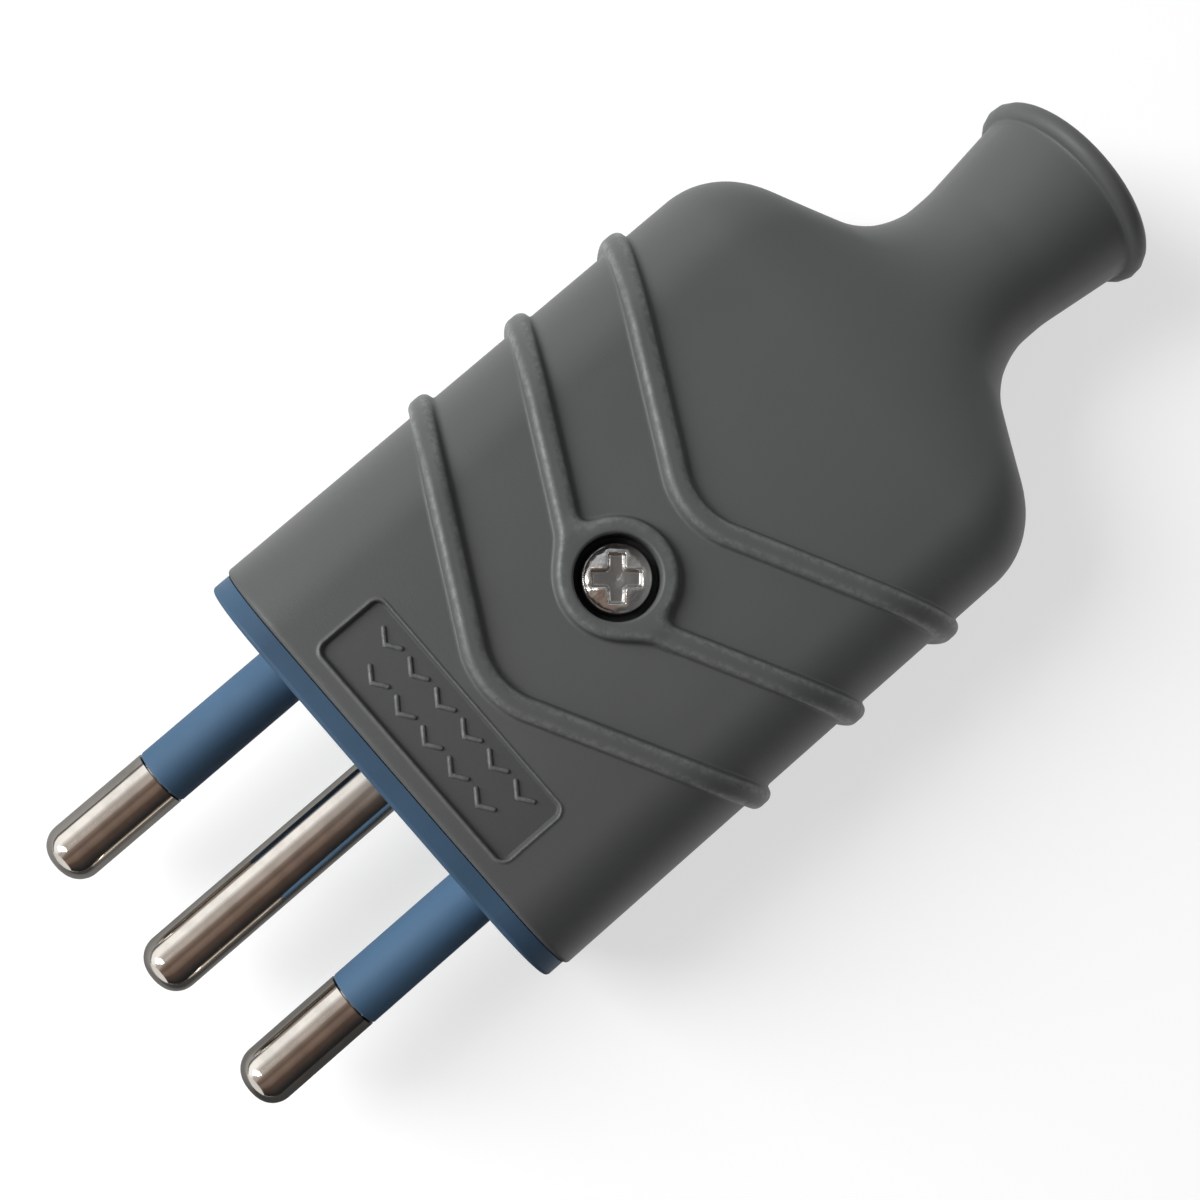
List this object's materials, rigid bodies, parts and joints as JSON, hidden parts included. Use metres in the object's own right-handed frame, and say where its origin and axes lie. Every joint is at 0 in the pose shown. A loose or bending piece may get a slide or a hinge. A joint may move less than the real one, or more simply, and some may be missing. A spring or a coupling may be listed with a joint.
{
  "type": "electrical plug",
  "caption": "Straight rewireable plug with round pins in one line, two of them sleeved, a soft ribbed cover held by a screw, and a flared cable boot.",
  "frame": {"origin": "earth pin's axis where it leaves the engagement face", "axes": "+X along the row of pins, +Y from the engagement face to the cable mouth, +Z the side of the cover screw; the pins point along -Y"},
  "size_m": [0.035, 0.0805, 0.0159],
  "materials": {
    "cover_rubber": "satin moulded soft grip",
    "carrier_blue": "satin moulded insulation",
    "sleeve_blue": "satin moulded insulation",
    "pin_plated": "polished nickel plate",
    "screw_plated": "bright nickel plate",
    "terminal_steel": "zinc plated",
    "clamp_plastic": "plain moulded"
  },
  "bodies": {
    "root": {"cover": "cover_rubber", "pin_carrier": "carrier_blue", "pin_keeper": "carrier_blue", "live_sleeve": "sleeve_blue", "neutral_sleeve": "sleeve_blue", "earth_pin": "pin_plated", "live_pin": "pin_plated", "neutral_pin": "pin_plated", "cover_screw": "screw_plated", "clamp_screw_left": "screw_plated", "clamp_screw_right": "screw_plated", "cover_nut": "screw_plated", "earth_terminal_screw": "terminal_steel", "live_terminal_screw": "terminal_steel", "neutral_terminal_screw": "terminal_steel", "cord_clamp": "clamp_plastic"}
  },
  "joints": []
}
